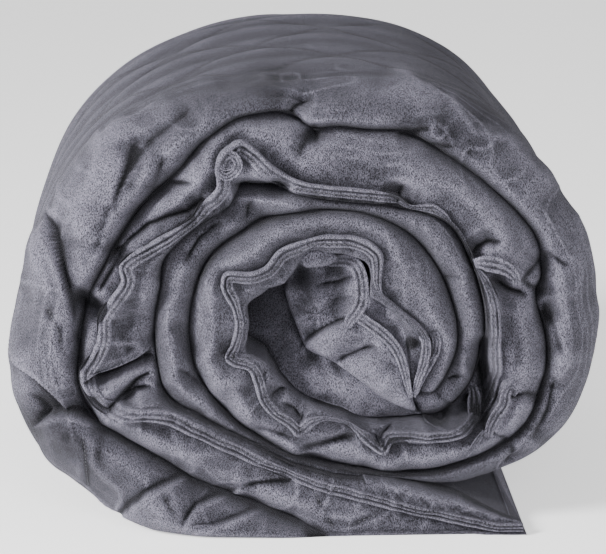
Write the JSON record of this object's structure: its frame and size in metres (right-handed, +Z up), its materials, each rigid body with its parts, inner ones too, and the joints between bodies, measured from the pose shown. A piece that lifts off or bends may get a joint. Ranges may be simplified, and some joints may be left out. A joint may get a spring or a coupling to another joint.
{
  "type": "weighted blanket",
  "caption": "Filled, quilted plush blanket folded lengthwise and rolled into a thick spiral, with its hemmed end lying out as a short tongue.",
  "frame": {"origin": "middle of the underside, on the surface that the roll lies on", "axes": "+Z up, +Y along the roll's axis towards its far end, +X towards the tongue's end; the spiral shows at -Y"},
  "size_m": [0.4262, 0.413, 0.3301],
  "materials": {
    "plush_grey": "short-pile grey plush, matt with a soft sheen"
  },
  "bodies": {
    "root": {"rolled_blanket": "plush_grey"}
  },
  "joints": []
}
